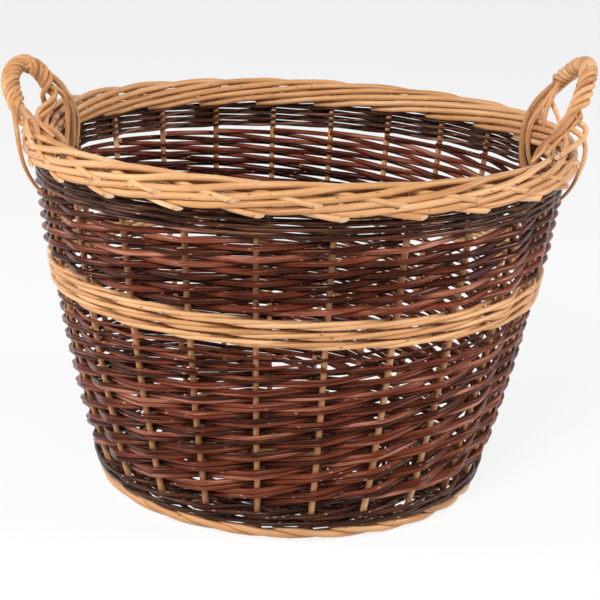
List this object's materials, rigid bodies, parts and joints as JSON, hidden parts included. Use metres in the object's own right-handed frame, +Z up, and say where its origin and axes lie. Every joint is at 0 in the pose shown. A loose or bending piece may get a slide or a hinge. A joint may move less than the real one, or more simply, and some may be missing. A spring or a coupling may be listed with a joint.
{
  "type": "wicker garden basket",
  "caption": "Round tapered stake-and-strand willow basket with brown randed sides, a pale middle band, a rolled pale border, a pale foot and two rope handles.",
  "frame": {"origin": "on the floor, under the middle of the round base", "axes": "+Z up, +X towards the right-hand handle, -Y is the front that the picture shows"},
  "size_m": [0.5788, 0.5508, 0.4428],
  "materials": {
    "buff_willow": "smooth peeled willow, light buff, a faint gloss",
    "peeled_stakes": "smooth peeled willow, a deeper buff",
    "brown_willow": "willow with its red-brown bark on, satin, fine grain",
    "dark_willow": "willow with darker bark on, satin, fine grain"
  },
  "bodies": {
    "root": {"base_sticks_pierced": "peeled_stakes", "base_sticks_through": "peeled_stakes", "base_weave": "brown_willow", "side_stakes": "peeled_stakes", "foot_border": "buff_willow", "upsett_wale": "dark_willow", "lower_siding_first_rods": "brown_willow", "lower_siding_second_rods": "brown_willow", "middle_band_round_1": "buff_willow", "middle_band_round_2": "buff_willow", "middle_band_round_3": "buff_willow", "upper_siding": "brown_willow", "top_wale": "dark_willow", "top_border": "buff_willow", "left_handle_bow": "peeled_stakes", "left_handle_rope": "buff_willow", "left_handle_tails": "buff_willow", "right_handle_bow": "peeled_stakes", "right_handle_rope": "buff_willow", "right_handle_tails": "buff_willow"}
  },
  "joints": []
}
